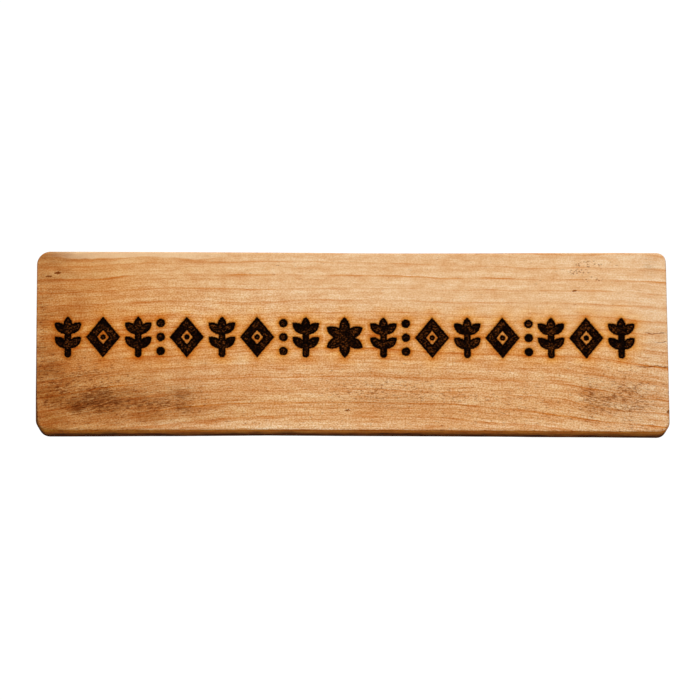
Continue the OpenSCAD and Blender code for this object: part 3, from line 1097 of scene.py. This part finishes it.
# How uneven the felt is, and the size and share of its clumps and of its roughness
PAD_FUZZ = 0.10
PAD_CLUMPS, PAD_ROUGH = (0.8, 0.7), (0.3, 0.5)
PAD_SEEDS = {"left": 5, "right": 11}
# The share of a pad's radius from which it is out of round
SIDE_FROM = 0.9


def add_piece(name, mesh, material, node):
    piece = add_object(name, mesh)
    mesh.materials.append(material)
    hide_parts(node)
    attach(piece, BODY)
    return piece


def make_hanger():
    """The CAD strip with its cut and bent edges broken, as pressed sheet steel has them."""
    shape = bmesh.new()
    shape.from_mesh(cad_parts["sawtooth_hanger"].data)
    bmesh.ops.remove_doubles(shape, verts=shape.verts, dist=CLOSE / 2)
    bmesh.ops.dissolve_limit(shape, angle_limit=FLAT_ANGLE, verts=shape.verts, edges=shape.edges)
    cut = [edge for edge in shape.edges if edge.calc_face_angle(0) > CUT_ANGLE]
    bevel = {"offset": HANGER_BEVEL * MM, "segments": BEVEL_STEPS, "profile": 0.5, "clamp_overlap": True}
    bmesh.ops.bevel(shape, geom=cut, affect="EDGES", **bevel)
    bmesh.ops.triangulate(shape, faces=shape.faces)
    mesh = bpy.data.meshes.new("hanger_strip")
    shape.to_mesh(mesh)
    shape.free()
    mesh.shade_smooth()
    mesh.set_sharp_from_angle(angle=SHARP_ANGLE)
    steel = plated_steel("hanger_steel", HANGER_ZINC, HANGER_DULL)
    add_piece("hanger_strip", mesh, steel, "sawtooth_hanger")


def lathed(name, axis, profile, shift):
    """A closed solid turned about a line along Y, whose points are then shifted.

    Its profile, as radius and y, starts at the end nearer the wall.
    """
    points = [Vector((axis.x, profile[0][1], axis.z))]
    faces = []
    for radius, y in profile[1:-1]:
        for i in range(AROUND):
            turn = 2 * math.pi * i / AROUND
            points.append(Vector((axis.x + radius * math.cos(turn), y, axis.z + radius * math.sin(turn))))
    points.append(Vector((axis.x, profile[-1][1], axis.z)))
    last = len(points) - 1
    for i in range(AROUND):
        j = (i + 1) % AROUND
        faces.append((0, 1 + j, 1 + i))
        for at in range(1, last - AROUND, AROUND):
            faces.append((at + i, at + j, at + AROUND + j, at + AROUND + i))
        faces.append((last - AROUND + i, last - AROUND + j, last))
    mesh = bpy.data.meshes.new(name)
    mesh.from_pydata([p + shift(*p) for p in points], [], faces)
    mesh.shade_smooth()
    return mesh


def nail_profile(top, tip, head_r):
    """From the top of the domed head, over its turned edge, and down the shank to the point."""
    dome = []
    for share in np.linspace(0, 1, DOME_POINTS):
        radius = head_r * math.sin(share * math.pi / 2) * DOME_WIDTH
        dome.append((radius, top - NAIL_HEAD_H * MM * DOME_HEIGHT * share**DOME_POWER))
    under = top - NAIL_HEAD_H * MM
    rim = [(head_r, top - NAIL_HEAD_H * MM * RIM_DOWN), (head_r * UNDER_WIDTH, under)]
    shank = [(SHANK_RADIUS * MM, under), (SHANK_RADIUS * MM, tip + NAIL_POINT * MM)]
    return dome + rim + shank + [(0, tip)]


def make_nail(side, steel):
    """One nail. Hammer blows have left small flats and dents in its head."""
    node = f"hanger_nail_{side}"
    low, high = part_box(node)
    axis = (low + high) / 2

    def dent(x, y, z):
        if y < high.y - NAIL_HEAD_H * MM * DENT_DOWN:
            return Vector()
        blow = 0.5 + wander(x, z, 0.5, DENT_SIZE, DENT_SEEDS[side])
        return Vector((0, -DENT * MM * blow * blow, 0))

    mesh = lathed(node, axis, nail_profile(high.y, low.y, (high.x - low.x) / 2), dent)
    add_piece(f"nail_{side}", mesh, steel, node)


def pad_profile(front, back, radius):
    """From the middle of the face on the wall, round both edges, to the middle of the glued face."""
    edge = PAD_EDGE * MM
    face = [(radius * share, back) for share in WALL_SHARES]
    turn = [(radius - edge * (1 - math.sin(a)), back - edge * (1 - math.cos(a))) for a in EDGE_ANGLES]
    side = [(radius, y) for y in np.linspace(back - edge, front + edge, SIDE_POINTS)]
    glued = [(radius * share, front) for share in GLUED_SHARES]
    return [(0, back)] + face + turn + side + [(radius - edge / 2, front)] + glued + [(0, front)]


def make_pad(side, felt):
    """One felt pad, matted and a little out of round, inside its CAD disc."""
    node = f"felt_pad_{side}"
    low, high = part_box(node)
    axis = (low + high) / 2
    seed = PAD_SEEDS[side]
    (clump_size, clump_share), (rough_size, rough_share) = PAD_CLUMPS, PAD_ROUGH

    def matted(x, y, z):
        out = Vector((x - axis.x, 0, z - axis.z))
        clump = 0.5 + 0.5 * noise.noise(Vector((x, y, z)) / (clump_size * MM) + Vector((seed, 0, 0)))
        rough = 0.5 + 0.5 * noise.noise(Vector((x, y, z)) / (rough_size * MM) + Vector((0, seed, 0)))
        amount = PAD_FUZZ * (clump_share * clump + rough_share * rough) * MM
        on_side = out.length > SIDE_FROM * (high.x - low.x) / 2
        inward = -out.normalized() * amount if on_side else Vector()
        if y > (low.y + high.y) / 2:
            inward.y = -amount
        return inward

    mesh = lathed(node, axis, pad_profile(low.y, high.y, (high.x - low.x) / 2), matted)
    pad = add_piece(f"pad_{side}", mesh, felt, node)


make_camera()
make_world()
make_floor()
for softbox in SOFTBOXES:
    make_softbox(*softbox)
bpy.context.scene.view_settings.view_transform = "Standard"

add_piece("plank", BoardMesh().make("plank"), burnt_wood(), "board")
make_hanger()
nail_steel = plated_steel("nail_steel", NAIL_ZINC, NAIL_DULL)
felt_cloth = pressed_felt()
for side in ("left", "right"):
    make_nail(side, nail_steel)
    make_pad(side, felt_cloth)
